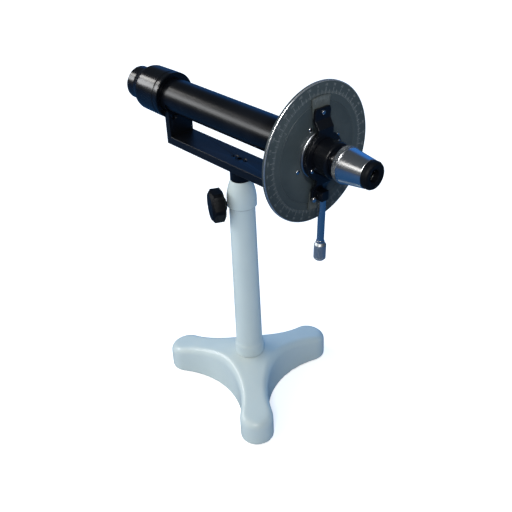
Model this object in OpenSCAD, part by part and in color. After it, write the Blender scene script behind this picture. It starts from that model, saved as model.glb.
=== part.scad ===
// Polarimeter on a tripod stand.
// Z is up and z = 0 is the table. The column axis is x = y = 0.
// The optical axis runs along X at axis_height: light enters at -X, the eye looks in at +X.

/* [Stand] */
// Height of the optical axis over the table
axis_height = 384; // [360:1:420]
// Column axis to the end of a leg
leg_reach = 121; // [112:1:135]
// Radius of the round leg end
leg_end_r = 21; // [18:0.5:23]
// Height of the base at the hub
hub_height = 57; // [54:1:62]
// Height of the base near a leg end
leg_height = 36; // [32:1:40]
// Rounding along the top edges of the base
edge_round = 8; // [6:0.5:9]
// Wall of the hollow casting
cast_wall = 7; // [5:0.5:8]
// Column diameter at its foot
column_foot_d = 34.4; // [33:0.2:37]
// Column diameter under the collar
column_top_d = 31.2; // [29:0.2:33]
// Diameter of the sliding post
post_d = 16; // [14:0.5:18]
// Height of the collar on the column
collar_h = 34; // [30:1:37]

/* [Clamp] */
// Direction of the clamp screw, degrees from +X
clamp_angle = 242; // [225:1:250]
// Diameter of the clamp screw
clamp_screw_d = 6; // [5:0.5:7]
// Clamp knob, across its corners
knob_d = 41; // [36:1:46]
// Clamp knob width along its screw
knob_w = 16; // [13:0.5:20]

/* [Frame] */
// Width of the flat bar
bar_width = 35; // [32:1:38]
// Thickness of the flat bar
bar_t = 10; // [8:0.5:11]
// Thickness of the two uprights
upright_t = 8; // [6:0.5:9]
// Optical axis down to the bar's top face
bar_drop = 46; // [44:0.5:50]
// Room along the chamber beyond the optical length of the sample tube
chamber_room = 19; // [18:1:24]
// Diameter of the swivel boss under the bar
boss_d = 24.6; // [24.2:0.2:27]
// Height of the swivel boss
boss_h = 16; // [14:0.5:20]

/* [Tube] */
// Outside diameter of the cover sleeve
cover_d = 42.5; // [42:0.1:43.4]
// Outside diameter of the sample trough
trough_d = 39; // [38.4:0.1:39.6]
// Wall of the sample trough
trough_wall = 1.7; // [1.2:0.1:2]
// Optical length of the sample tube
sample_l = 200; // [190:1:201]
// Outside diameter of the sample glass
sample_d = 18; // [14:0.5:22]

/* [Light end] */
// Outside diameter of the polariser housing
housing_d = 56; // [54:0.5:60]
// Length of the housing's wide part
housing_l = 45; // [42:1:47]
// Outside diameter of the rear cap
cap_d = 40.5; // [37:0.5:42]
// Light entry hole in the rear cap
entry_d = 12; // [8:0.5:16]

/* [Scale] */
// Diameter of the scale disc
disc_d = 150; // [140:1:160]
// Thickness of the scale disc
disc_t = 3.5; // [2.5:0.5:5]
// Radius where the vernier meets the scale
vernier_r = 61; // [59:0.5:62]
// Lean of the vernier arms from upright, degrees
arm_tilt = 3; // [-20:1:20]
// Width of a vernier arm at the hub
arm_w = 20; // [18:0.5:24]
// Width of a vernier arm at its end
arm_end_w = 22.5; // [21:0.5:25]
// Diameter of the silver hub ring
hub_ring_d = 52; // [46:0.5:54]
// Diameter of the analyser drum
drum_d = 39; // [36:0.5:42]
// Length of the analyser drum
drum_l = 18; // [16:0.5:20]
// Diameter of the handle rod
rod_d = 8; // [6:0.5:9]
// Diameter of the handle grip
grip_d = 13.4; // [12:0.2:15]
// Optical axis down to the end of the grip
handle_reach = 121; // [116:1:130]

/* [Telescope] */
// Diameter of the telescope tube
scope_d = 22; // [20:0.5:23]
// Diameter of the focus ring
focus_ring_d = 38.8; // [36:0.2:41]
// Diameter of the eyepiece sleeve at the eye end
sleeve_end_d = 30; // [29:0.5:33]
// Diameter of the eyecup
eyecup_d = 29.4; // [28:0.2:32]
// Length of the eyepiece sleeve
sleeve_l = 33; // [32:0.5:36]

/* [Hidden] */
$fn = 96;
run_gap = 0.05;
seat_gap = 0.02;
axial_gap = 0.05;
joint_gap = 0.2;

// Heights of the stand
bar_top = axis_height - bar_drop;
bar_bottom = bar_top - bar_t;
collar_top = bar_bottom - boss_h;
column_top = collar_top - collar_h;
pad_lift = 1;
leg_angles = [-38.5, 81.5, 201.5];
leg_centre = leg_reach - leg_end_r;
waist = 36.7;
hollow_r = (pow(waist, 2) + pow(leg_centre, 2) - waist * leg_centre - pow(leg_end_r, 2))
  / (2 * leg_end_r - 2 * waist + leg_centre);
hollow_c = hollow_r + waist;
end_half = atan2(hollow_c * sin(60), hollow_c * cos(60) - leg_centre);
hub_flat = 18;
spigot_r = 12;
stud_r = 8;
stud_floor = 24;
foot_h = 18;
post_r = post_d / 2;
clamp_z = column_top + 4;
clamp_r = clamp_screw_d / 2;
pad_t = 2.5;
stem_in = post_r + seat_gap + pad_t;
knob_in = 19.4;
post_l = 144;
post_in = 12;
bore_l = 190;
boss_screw_x = 10.1;
boss_screw_r = 1.3;

// Stations along the optical axis
chamber_l = sample_l + chamber_room;
rear_x = -chamber_l / 2 - 3.5;
front_x = rear_x + chamber_l;
trough_r = trough_d / 2;
trough_in = trough_r - trough_wall;
cover_r = cover_d / 2;
ring_w = 6;
spigot_l = 12;
housing_r = housing_d / 2;
cone_l = 12;
housing_back = rear_x - housing_l - cone_l;
core_r = 16;
cap_l = 14;
flange_r = 36;
flange_t = 12.1;
disc_back = front_x + flange_t;
disc_face = disc_back + disc_t;
hub_face = disc_face + 3;
spindle_r = 12;
spacer_face = hub_face + 4.4;
arm_t = 3;
arm_face = spacer_face + arm_t;
arm_low = disc_face + 2.2;
drum_face = arm_face + drum_l;
drum_r = drum_d / 2;
scope_r = scope_d / 2;
scope_end = drum_face + 18;
sleeve_x = drum_face + 7;
sleeve_end = sleeve_x + sleeve_l;
cup_l = 7.5;
upright_screw_y = 11;
upright_screw_z = 22.5;
cap_r = trough_in - 0.6;
glass_mid = (rear_x + front_x) / 2;
window_t = 1.2;
cap_wall = 1.6;
handle_y = 0.5;
low_screw_y = -9;
low_screw_z = -47.5;

// Frames of reference
module on_axis() {
  translate([0, 0, axis_height]) children();
}
module on_arm() {
  on_axis() rotate([-arm_tilt, 0, 0]) children();
}
module turned(points) {
  rotate([0, 90, 0]) rotate_extrude() polygon(points);
}
module rod_x(x0, x1, r) {
  translate([x0, 0, 0]) rotate([0, 90, 0]) cylinder(h = x1 - x0, r = r);
}
module ring_x(x0, x1, r, bore) {
  difference() {
    rod_x(x0, x1, r);
    rod_x(x0 - 1, x1 + 1, bore);
  }
}
module plate_x(x0, t) {
  translate([x0, 0, 0]) rotate([90, 0, 90]) linear_extrude(t) children();
}
module side_plate(w) {
  rotate([90, 0, 0]) linear_extrude(w, center = true) children();
}
module block_x(x0, x1, y0, y1, z0, z1) {
  translate([x0, y0, z0]) cube([x1 - x0, y1 - y0, z1 - z0]);
}
// Fine straight knurl: square teeth cut round a rim
module knurl_x(x0, x1, r, count, depth) {
  for (k = [0 : count - 1])
    rotate([k * 360 / count, 0, 0]) translate([x0, 0, r]) rotate([45, 0, 0])
      translate([0, -depth, -depth]) cube([x1 - x0, 2 * depth, 2 * depth]);
}
// Round-headed screw pointing along -X from face x
module dome_screw_x(x, y, z, head_r, head_h, shank_r, shank_l) {
  translate([x, y, z]) rotate([0, 90, 0]) rotate_extrude() polygon([
    [0, -shank_l], [shank_r, -shank_l], [shank_r, 0], [head_r, 0], [head_r, head_h * 0.45],
    [head_r * 0.9, head_h * 0.72], [head_r * 0.66, head_h * 0.92], [head_r * 0.35, head_h], [0, head_h]]);
}

// Base outline: round leg ends joined by hollows tangent to them, inset by e
function outline(e) = [for (a = leg_angles) each concat(
  [for (k = [-10 : 10])
    [leg_centre * cos(a) + (leg_end_r - e) * cos(a + k * end_half / 10),
      leg_centre * sin(a) + (leg_end_r - e) * sin(a + k * end_half / 10)]],
  [for (k = [1 : 15]) let (t = a + 240 + (8 - k) * (end_half - 60) / 8)
    [hollow_c * cos(a + 60) + (hollow_r + e) * cos(t), hollow_c * sin(a + 60) + (hollow_r + e) * sin(t)]])];
// Height of the roof, which falls from the hub to the leg ends
function roof_z(r) = hub_height - max(0, r - hub_flat) * (hub_height - leg_height) / (leg_reach - 28);
function layer(e, drop) = [for (p = outline(e)) [p[0], p[1], roof_z(norm(p)) - drop]];
// Outside of the casting: from the floor up the walls, round the top edge and over the roof to the hub
module base_shell() {
  floor_ring = [for (p = outline(0)) [p[0], p[1], pad_lift - 4]];
  rings = [for (t = [0 : 18 : 90]) each layer(edge_round * (1 - cos(t)), edge_round * (1 - sin(t)))];
  n = len(floor_ring);
  hub_ring = [for (i = [0 : n - 1]) let (t = leg_angles[0] + (i - 10) * 360 / n)
    [hub_flat * cos(t), hub_flat * sin(t), hub_height]];
  points = concat(floor_ring, rings, hub_ring);
  last = len(points) / n - 1;
  polyhedron(points, concat(
    [[for (i = [0 : n - 1]) i]],
    [for (j = [0 : last - 1]) for (i = [0 : n - 1]) let (m = (i + 1) % n)
      each [[j * n + i, (j + 1) * n + i, (j + 1) * n + m], [j * n + i, (j + 1) * n + m, j * n + m]]],
    [[for (i = [n - 1 : -1 : 0]) last * n + i]]), convexity = 6);
}
// Pocket on the underside of one leg, under a roof of even thickness
module leg_pocket() {
  start = 24;
  end = leg_centre - 17;
  side_plate(2 * (leg_end_r - cast_wall))
    polygon([[start, -1], [end, -1], [end, roof_z(end) - cast_wall], [start, roof_z(start) - cast_wall]]);
}
module tripod_base() {
  color([0.80, 0.84, 0.86])
  difference() {
    base_shell();
    translate([-leg_reach - 10, -leg_reach - 10, -20]) cube([2 * leg_reach + 20, 2 * leg_reach + 20, 20 + pad_lift]);
    for (a = leg_angles) rotate(a) {
      leg_pocket();
      translate([leg_centre - 2, 0, -1]) cylinder(h = 6, r = 12 + seat_gap);
    }
    translate([0, 0, -1]) cylinder(h = stud_floor + 1, r = 17.5);
    translate([0, 0, 40]) cylinder(h = 60, r = spigot_r + seat_gap);
    cylinder(h = 60, r = stud_r + joint_gap);
  }
}
module foot_pads() {
  color([0.10, 0.10, 0.11])
  for (a = leg_angles) rotate(a) translate([leg_centre - 2, 0, 0]) cylinder(h = 5, r = 12);
}
module column() {
  color([0.80, 0.84, 0.86])
  difference() {
    rotate_extrude() polygon([
      [0, 8], [stud_r - 1, 8], [stud_r, 9], [stud_r, 40], [spigot_r, 40], [spigot_r, hub_height],
      [column_foot_d / 2 + 1.8, hub_height], [column_foot_d / 2 + 1.8, hub_height + foot_h - 6],
      [column_foot_d / 2 + 1.5, hub_height + foot_h - 3], [column_foot_d / 2 + 0.8, hub_height + foot_h - 1],
      [column_foot_d / 2, hub_height + foot_h], [column_top_d / 2, column_top], [0, column_top]]);
    translate([0, 0, collar_top - bore_l]) cylinder(h = bore_l + 10, r = post_r + 1.5);
    translate([0, 0, column_top - 20]) cylinder(h = 30, r = spigot_r + seat_gap);
    translate([0, 0, clamp_z]) rotate([0, 90, clamp_angle]) cylinder(h = 40, r = clamp_r + joint_gap);
  }
}
module column_washer() {
  color([0.72, 0.73, 0.74])
  translate([0, 0, stud_floor - 2.5]) difference() {
    cylinder(h = 2.5, r = 16);
    translate([0, 0, -1]) cylinder(h = 6, r = stud_r + joint_gap);
  }
}
module column_nut() {
  color([0.72, 0.73, 0.74])
  translate([0, 0, stud_floor - 14.5]) difference() {
    cylinder(h = 12, r = 13.8, $fn = 6);
    translate([0, 0, -1]) cylinder(h = 16, r = stud_r + seat_gap);
  }
}
module column_collar() {
  top_r = boss_d / 2 - 0.2;
  low_r = column_top_d / 2 + 2.3;
  color([0.80, 0.84, 0.86])
  difference() {
    rotate_extrude() union() {
      translate([0, column_top - 20]) square([spigot_r, 21]);
      difference() {
        translate([0, column_top]) square([low_r, collar_h]);
        translate([low_r - 0.8, column_top - 1]) square([2, 1.8]);
      }
    }
    difference() {
      translate([0, 0, column_top + 8]) cylinder(h = 60, r = 40);
      collar_dome(low_r, top_r);
    }
    translate([0, 0, column_top - 30]) cylinder(h = collar_h + 60, r = post_r + run_gap);
    translate([0, 0, clamp_z]) rotate([0, 90, clamp_angle]) cylinder(h = 40, r = clamp_r + run_gap);
  }
}
// Solid of revolution whose wall is an arc from the collar's widest ring to its top
module collar_dome(low_r, top_r) {
  h = collar_h - 8;
  d = low_r - top_r;
  arc = (d * d + h * h) / (2 * d);
  rotate_extrude() intersection() {
    translate([low_r - arc, column_top + 8]) circle(r = arc, $fn = 360);
    translate([0, column_top + 7]) square([low_r, h + 1]);
  }
}

module post() {
  color([0.75, 0.76, 0.78])
  difference() {
    translate([0, 0, collar_top + post_in - post_l]) cylinder(h = post_l - axial_gap, r = post_r);
    translate([0, 0, collar_top - 14]) cylinder(h = 40, r = 3 + seat_gap);
  }
}
module swivel_screw() {
  color([0.30, 0.31, 0.33])
  difference() {
    union() {
      translate([0, 0, collar_top - 12]) cylinder(h = bar_top - 5 + axial_gap - collar_top + 12, r = 3);
      translate([0, 0, bar_top - 5 + axial_gap]) cylinder(h = 5 - axial_gap, r = 5);
    }
    translate([0, 0, bar_top - 2.5]) cylinder(h = 5, r = 2.9, $fn = 6);
  }
}
module at_clamp() {
  translate([0, 0, clamp_z]) rotate([0, 0, clamp_angle]) children();
}
module clamp_pad() {
  color([0.75, 0.58, 0.25])
  at_clamp() rod_x(post_r + seat_gap, stem_in, clamp_r - 0.6);
}
module clamp_screw() {
  color([0.62, 0.66, 0.62])
  at_clamp() rod_x(stem_in, knob_in + knob_w - 1, clamp_r);
}
module clamp_knob() {
  color([0.07, 0.07, 0.08])
  at_clamp() difference() {
    intersection() {
      plate_x(knob_in, knob_w + 5) circle(r = knob_d / 2 + 1.2, $fn = 6);
      turned([[0, knob_in], [7, knob_in], [8, knob_in + 1.2], [knob_d / 2 - 4, knob_in + 3],
        [knob_d / 2, knob_in + 5.5], [knob_d / 2, knob_in + knob_w], [knob_d / 2 - 4.5, knob_in + knob_w + 3.5],
        [0, knob_in + knob_w + 4.5]]);
    }
    rod_x(knob_in - 1, knob_in + knob_w - 1 + seat_gap, clamp_r + seat_gap);
  }
}

module swivel_boss() {
  color([0.05, 0.05, 0.06])
  difference() {
    rotate_extrude() polygon([[0, collar_top + axial_gap], [boss_d / 2 - 0.6, collar_top + axial_gap],
      [boss_d / 2, collar_top + 0.7], [boss_d / 2, bar_bottom], [0, bar_bottom]]);
    translate([0, 0, collar_top - 1]) cylinder(h = post_in + 1, r = post_r + run_gap);
    translate([0, 0, collar_top]) cylinder(h = 40, r = 3 + run_gap * 2);
    for (s = [-1, 1]) translate([s * boss_screw_x, 0, bar_bottom - 9]) cylinder(h = 20, r = boss_screw_r + seat_gap);
  }
}
module boss_screws() {
  color([0.30, 0.31, 0.33])
  for (s = [-1, 1]) translate([s * boss_screw_x, 0, 0]) difference() {
    union() {
      translate([0, 0, bar_bottom - 9]) cylinder(h = bar_t + 6, r = boss_screw_r);
      translate([0, 0, bar_top - 3]) cylinder(h = 3, r = 2.8);
    }
    translate([0, 0, bar_top - 1.6]) cylinder(h = 4, r = 1.45, $fn = 6);
  }
}
module frame_bar() {
  lip_z = axis_height - 14;
  color([0.04, 0.04, 0.05])
  difference() {
    union() {
      block_x(rear_x, front_x, -bar_width / 2, bar_width / 2, bar_bottom, bar_top);
      block_x(rear_x, rear_x + upright_t, -bar_width / 2, bar_width / 2, bar_bottom, lip_z);
      block_x(front_x - upright_t, front_x, -bar_width / 2, bar_width / 2, bar_bottom, lip_z);
    }
    on_axis() rod_x(rear_x - 5, front_x + 5, cover_r + 0.4);
    for (y = [-1, 1]) on_axis() translate([0, y * upright_screw_y, -upright_screw_z]) {
      rod_x(rear_x - 5, rear_x + 20, 1.5 + joint_gap);
      rod_x(rear_x + upright_t - 3, rear_x + 20, 2.8);
      rod_x(front_x - 20, front_x + 5, 1.5 + joint_gap);
      rod_x(front_x - 20, front_x - upright_t + 3, 2.8);
    }
    translate([0, 0, bar_bottom - 1]) cylinder(h = 30, r = 3 + run_gap * 2);
    translate([0, 0, bar_top - 5]) cylinder(h = 10, r = 5.3);
    for (s = [-1, 1]) translate([s * boss_screw_x, 0, 0]) {
      translate([0, 0, bar_bottom - 1]) cylinder(h = 30, r = 1.5 + joint_gap);
      translate([0, 0, bar_top - 3]) cylinder(h = 10, r = 3);
    }
  }
}
module upright_screws() {
  color([0.30, 0.31, 0.33])
  for (y = [-1, 1]) on_axis() translate([0, y * upright_screw_y, -upright_screw_z]) {
    difference() {
      union() {
        rod_x(rear_x - 7, rear_x + upright_t - 3, 1.5);
        rod_x(rear_x + upright_t - 3, rear_x + upright_t, 2.6);
      }
      translate([rear_x + upright_t - 1.6, 0, 0]) rotate([0, 90, 0]) cylinder(h = 4, r = 1.4, $fn = 6);
    }
    difference() {
      union() {
        rod_x(front_x - upright_t + 3, front_x + 7, 1.5);
        rod_x(front_x - upright_t, front_x - upright_t + 3, 2.6);
      }
      translate([front_x - upright_t - 2.4, 0, 0]) rotate([0, 90, 0]) cylinder(h = 4, r = 1.4, $fn = 6);
    }
  }
}
module front_flange() {
  color([0.05, 0.05, 0.06])
  on_axis() difference() {
    turned([[0, front_x], [flange_r - 0.6, front_x], [flange_r, front_x + 0.6], [flange_r, disc_back],
      [core_r, disc_back], [core_r, hub_face], [0, hub_face]]);
    rod_x(front_x - 5, front_x + 5, trough_r + seat_gap);
    rod_x(front_x - 5, hub_face + 5, spindle_r + run_gap);
    for (y = [-1, 1]) translate([0, y * upright_screw_y, -upright_screw_z])
      rod_x(front_x - 5, front_x + 7.5, 1.5 + seat_gap);
    disc_screw_places() rod_x(front_x + 2, disc_back + 5, 1.5 + seat_gap);
  }
}

module polariser_housing() {
  wide = rear_x - housing_l;
  color([0.05, 0.05, 0.06])
  on_axis() difference() {
    turned([[0, rear_x], [housing_r - 0.8, rear_x], [housing_r, rear_x - 0.8], [housing_r, rear_x - 6],
      [housing_r - 0.6, rear_x - 6.6], [housing_r - 0.6, rear_x - 8.4], [housing_r, rear_x - 9],
      [housing_r - 0.5, wide + 4], [housing_r - 1.2, wide + 1], [housing_r - 3.2, wide - 2.4],
      [cap_d / 2 + 1, housing_back + 3.2], [cap_d / 2 + 0.4, housing_back + 0.6], [cap_d / 2, housing_back],
      [0, housing_back]]);
    rod_x(rear_x - spigot_l, rear_x + 5, trough_r + seat_gap);
    rod_x(rear_x - 47, rear_x + 5, core_r + seat_gap);
    rod_x(housing_back - 5, rear_x, 14 + seat_gap);
    for (y = [-1, 1]) translate([0, y * upright_screw_y, -upright_screw_z])
      rod_x(rear_x - 7.5, rear_x + 5, 1.5 + seat_gap);
  }
}
module rear_cap() {
  color([0.04, 0.04, 0.05])
  on_axis() difference() {
    turned([[0, housing_back + 7], [14, housing_back + 7], [14, housing_back], [cap_d / 2 - 0.6, housing_back],
      [cap_d / 2, housing_back - 0.8], [cap_d / 2, housing_back - cap_l + 1.5],
      [cap_d / 2 - 1.5, housing_back - cap_l], [0, housing_back - cap_l]]);
    rod_x(housing_back - cap_l - 5, housing_back - cap_l + 3, cap_d / 2 - 5);
    rod_x(housing_back - cap_l - 5, housing_back + 20, entry_d / 2);
    rotate([-35, 0, 0]) block_x(housing_back - cap_l - 1, housing_back - cap_l + 4, -2.5, 2.5, cap_d / 2 - 3,
      cap_d / 2 + 3);
  }
}
// Lens with one domed face toward +X
module lens_x(x0, r, edge_t, bulge) {
  arc = (r * r + bulge * bulge) / (2 * bulge);
  rotate([0, 90, 0]) rotate_extrude() intersection() {
    translate([0, x0]) square([r, edge_t + bulge]);
    translate([0, x0 + edge_t + bulge - arc]) circle(r = arc, $fn = 360);
  }
}
module collimator_lens() {
  color([0.75, 0.85, 0.90, 0.5])
  on_axis() lens_x(rear_x - 47, core_r, 2, 2.4);
}
module lens_ring() {
  color([0.10, 0.10, 0.11])
  on_axis() ring_x(rear_x - 42.6, rear_x - 39.6, core_r, core_r - 3);
}
module polariser_mount() {
  color([0.12, 0.12, 0.13])
  on_axis() difference() {
    rod_x(rear_x - 39.6, rear_x - 16.6, core_r);
    block_x(rear_x - 37, rear_x - 10, -7, 7, -7, 7);
    rod_x(rear_x - 50, rear_x, 6);
  }
}
// Calcite prism cut on a slant, its two halves parted by the cement layer
module prism_pair(x0, x1, half) {
  film = 0.06;
  on_axis() side_plate(2 * half) {
    polygon([[x0, -half], [x1 - film, -half], [x0, half - film]]);
    polygon([[x1, half], [x0 + film, half], [x1, -half + film]]);
  }
}
module polariser_prism() {
  color([0.85, 0.90, 0.92, 0.5])
  prism_pair(rear_x - 37 + seat_gap, rear_x - 17, 7 - seat_gap);
}
module half_shade_cell() {
  color([0.10, 0.10, 0.11])
  on_axis() difference() {
    rod_x(rear_x - 16.6, rear_x - spigot_l - 0.4, core_r);
    rod_x(rear_x - 15.4, rear_x, 12);
    rod_x(rear_x - 20, rear_x, 7);
  }
}
module half_shade_plates() {
  x0 = rear_x - 15.4;
  color([0.85, 0.90, 0.95, 0.5])
  on_axis() for (s = [-1, 1]) difference() {
    rod_x(x0, x0 + 2, 12 - seat_gap);
    block_x(x0 - 1, x0 + 3, s > 0 ? -20 : -0.01, s > 0 ? 0.01 : 20, -20, 20);
  }
}
module rear_stop() {
  color([0.06, 0.06, 0.07])
  on_axis() ring_x(rear_x - spigot_l, rear_x - spigot_l + 1.5, trough_in - seat_gap, 5.5);
}

module sample_trough() {
  color([0.08, 0.08, 0.09])
  on_axis() difference() {
    ring_x(rear_x - spigot_l, front_x + 5 - axial_gap, trough_r, trough_in);
    block_x(rear_x + ring_w, front_x - ring_w, -30, 30, 2, 40);
  }
}
module cover_sleeve() {
  color([0.03, 0.03, 0.04])
  on_axis() difference() {
    ring_x(rear_x + joint_gap, front_x - joint_gap, cover_r, trough_r + run_gap);
    block_x(rear_x + ring_w, front_x - ring_w, -30, 30, -40, -3);
  }
}
module sample_glass() {
  bulb_x = glass_mid + sample_l / 2 - 26;
  color([0.85, 0.92, 0.95, 0.4])
  on_axis() difference() {
    union() {
      rod_x(glass_mid - sample_l / 2, glass_mid + sample_l / 2, sample_d / 2);
      translate([bulb_x, 0, 0]) sphere(r = sample_d / 2 + 3.5);
    }
    rod_x(glass_mid - sample_l / 2 - 1, glass_mid + sample_l / 2 + 1, sample_d / 2 - 1.6);
    translate([bulb_x, 0, 0]) sphere(r = sample_d / 2 + 1.9);
  }
}
module sample_windows() {
  color([0.85, 0.92, 0.95, 0.4])
  on_axis() {
    rod_x(glass_mid - sample_l / 2 - window_t, glass_mid - sample_l / 2, sample_d / 2);
    rod_x(glass_mid + sample_l / 2, glass_mid + sample_l / 2 + window_t, sample_d / 2);
  }
}
module sample_washers() {
  far = sample_l / 2 + window_t;
  color([0.45, 0.12, 0.08])
  on_axis() {
    ring_x(glass_mid - far - 0.6, glass_mid - far, sample_d / 2, 5);
    ring_x(glass_mid + far, glass_mid + far + 0.6, sample_d / 2, 5);
  }
}
// Screw cap of the sample tube, its end wall toward the side s
module sample_cap(s) {
  far = glass_mid + s * (sample_l / 2 + window_t + 0.6);
  x0 = s > 0 ? far - 14 : far - cap_wall;
  x1 = s > 0 ? far + cap_wall : far + 14;
  difference() {
    rod_x(x0, x1, cap_r);
    rod_x(s > 0 ? x0 - 1 : far, s > 0 ? far : x1 + 1, sample_d / 2 + seat_gap);
    rod_x(x0 - 1, x1 + 1, 5);
    for (k = [0 : 23]) rotate([k * 15, 0, 0]) translate([x0 - 1, 0, cap_r + 0.7])
      rod_x(0, x1 - x0 + 2, 1.2, $fn = 24);
  }
}
module sample_caps() {
  color([0.72, 0.58, 0.30])
  on_axis() {
    sample_cap(-1);
    sample_cap(1);
  }
}

// Places of the four disc screws
module disc_screw_places() {
  for (a = [20, 110, 200, 290]) rotate([a, 0, 0]) translate([0, 0, 31]) children();
}
// The graduated disc: a degree scale cut round the line that the verniers meet
module scale_disc() {
  color([0.40, 0.43, 0.45])
  on_axis() difference() {
    turned([[core_r + seat_gap, disc_back], [disc_d / 2 - 0.5, disc_back], [disc_d / 2, disc_back + 0.5],
      [disc_d / 2, disc_face - 0.6], [disc_d / 2 - 0.6, disc_face], [54.6, disc_face],
      [54.3, disc_face - 0.4], [53.7, disc_face - 0.4], [53.4, disc_face], [core_r + seat_gap, disc_face]]);
    disc_screw_places() rod_x(disc_back - 5, disc_face + 5, 1.5 + joint_gap);
    for (k = [0 : 71]) rotate([k * 5, 0, 0])
      block_x(disc_face - 0.25, disc_face + 1, -0.2, 0.2, vernier_r + 0.4, vernier_r + (k % 2 == 0 ? 7 : 4.6));
  }
}
module disc_screws() {
  color([0.85, 0.86, 0.88])
  on_axis() disc_screw_places() dome_screw_x(disc_face, 0, 0, 2.6, 1.3, 1.5, 11);
}
module hub_ring() {
  color([0.70, 0.72, 0.74])
  on_axis() difference() {
    turned([[core_r + seat_gap, disc_face], [hub_ring_d / 2, disc_face], [hub_ring_d / 2, hub_face - 0.7],
      [hub_ring_d / 2 - 0.7, hub_face], [core_r + seat_gap, hub_face]]);
  }
}
module spacer_ring() {
  r = hub_ring_d / 2 - 2;
  color([0.05, 0.05, 0.06])
  on_arm() difference() {
    ring_x(hub_face + axial_gap, spacer_face - 0.8, r, spindle_r + seat_gap);
    knurl_x(hub_face + 0.9, spacer_face - 1.6, r, 60, 0.7);
    carrier_screw_places() rod_x(hub_face + 1.2, spacer_face + 5, 1.3 + seat_gap);
  }
}
module bright_ring() {
  color([0.80, 0.81, 0.83])
  on_arm() difference() {
    ring_x(spacer_face - 0.8, spacer_face, hub_ring_d / 2 - 1.2, spindle_r + seat_gap);
    carrier_screw_places() rod_x(spacer_face - 5, spacer_face + 5, 1.3 + joint_gap);
  }
}
module carrier_screw_places() {
  for (a = [-60, 120]) rotate([a, 0, 0]) translate([0, 0, 21.9]) children();
}
module arm_outline() {
  union() {
    circle(r = hub_ring_d / 2 - 0.2);
    for (s = [0, 180]) rotate(s) polygon([[-arm_w / 2, 0], [arm_w / 2, 0], [arm_end_w / 2, 46],
      [arm_end_w / 2 - 1.5, 50], [-arm_end_w / 2 + 1.5, 50], [-arm_end_w / 2, 46]]);
  }
}
// Side view of the arms: flat at the hub, stepped down to the disc at both ends
module arm_profile() {
  up = [[arm_face, 30], [arm_low + arm_t, 38], [arm_low + arm_t, 52], [arm_low, 52], [arm_low, 36.4],
    [spacer_face, 28.4]];
  down = [for (k = [5 : -1 : 0]) [up[k][0], -up[k][1]]];
  polygon(concat(up, down));
}
module vernier_arm() {
  color([0.04, 0.04, 0.05])
  on_arm() difference() {
    intersection() {
      plate_x(disc_face, 14) arm_outline();
      side_plate(90) arm_profile();
    }
    rod_x(disc_face - 5, arm_face + 5, spindle_r + seat_gap);
    carrier_screw_places() rod_x(spacer_face - 5, arm_face + 5, 1.3 + joint_gap);
    translate([0, 0, 45]) rod_x(disc_face, arm_face + 5, 1.2 + seat_gap);
    translate([0, low_screw_y, low_screw_z]) rod_x(disc_face, arm_face + 5, 1.2 + seat_gap);
  }
}
// Vernier plates: eleven lines that split one division of the scale into tenths
module vernier_plates() {
  x0 = arm_low - 1.6;
  color([0.70, 0.71, 0.70])
  on_arm() for (s = [0, 180]) rotate([s, 0, 0]) difference() {
    plate_x(x0, 1.6) intersection() {
      polygon([[-10.5, 40], [10.5, 40], [14, 66], [-14, 66]]);
      circle(r = vernier_r);
    }
    translate([0, s > 0 ? -low_screw_y : 0, s > 0 ? -low_screw_z : 45]) rod_x(x0 - 2, x0 + 5, 1.2 + joint_gap);
    for (k = [-5 : 5]) rotate([k * 1.9, 0, 0]) block_x(x0 + 1.4, x0 + 3, -0.15, 0.15,
      vernier_r - (k % 5 == 0 ? 6 : 4), vernier_r + 1);
  }
}
module vernier_screws() {
  color([0.88, 0.89, 0.90])
  on_arm() {
    dome_screw_x(arm_low + arm_t, 0, 45, 2.4, 1.3, 1.2, arm_t + 1.6);
    dome_screw_x(arm_low + arm_t, low_screw_y, low_screw_z, 3, 2.6, 1.2, arm_t + 1.6);
  }
}
module carrier_screws() {
  color([0.88, 0.89, 0.90])
  on_arm() carrier_screw_places() dome_screw_x(arm_face, 0, 0, 2.1, 1.2, 1.3, arm_face - hub_face - 1.6);
}

module analyser_spindle() {
  color([0.55, 0.56, 0.58])
  on_axis() difference() {
    union() {
      rod_x(front_x + 5.05, arm_face - 0.1, spindle_r);
      rod_x(front_x + 1.5, front_x + 5.05, spindle_r - 1);
    }
    rod_x(front_x - 5, arm_face + 5, 9 + seat_gap);
  }
}
module spindle_retainer() {
  color([0.55, 0.45, 0.25])
  on_axis() ring_x(front_x + 1.5, front_x + 5 - axial_gap, 15, spindle_r - 1 + seat_gap);
}
module analyser_mount() {
  color([0.12, 0.12, 0.13])
  on_axis() difference() {
    rod_x(front_x + 3, arm_face - 4, 9);
    block_x(front_x + 5, arm_face, -6, 6, -6, 6);
    rod_x(front_x - 5, arm_face, 5);
  }
}
module analyser_prism() {
  color([0.85, 0.90, 0.92, 0.5])
  prism_pair(front_x + 5 + seat_gap, arm_face - 4.2, 6 - seat_gap);
}
module objective_lens() {
  color([0.75, 0.85, 0.90, 0.5])
  on_axis() lens_x(arm_face - 3.9, 9, 2, 1.4);
}
module analyser_drum() {
  color([0.03, 0.03, 0.04])
  on_arm() difference() {
    turned([[0, arm_face], [drum_r - 0.4, arm_face], [drum_r, arm_face + 0.6], [drum_r, drum_face - 3],
      [drum_r - 0.9, drum_face - 1], [drum_r - 3, drum_face], [0, drum_face]]);
    rod_x(arm_face - 5, arm_face + 4, 14);
    rod_x(arm_face, drum_face + 5, scope_r + seat_gap);
  }
}
module handle_block() {
  color([0.05, 0.05, 0.06])
  on_arm() difference() {
    block_x(arm_low + arm_t, arm_low + arm_t + rod_d, handle_y - 5, handle_y + 5, -49.5, -38.6);
    translate([arm_low + arm_t + rod_d / 2 - 0.4, handle_y, -55]) cylinder(h = 13, r = rod_d / 2 - 1 + seat_gap);
  }
}
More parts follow.
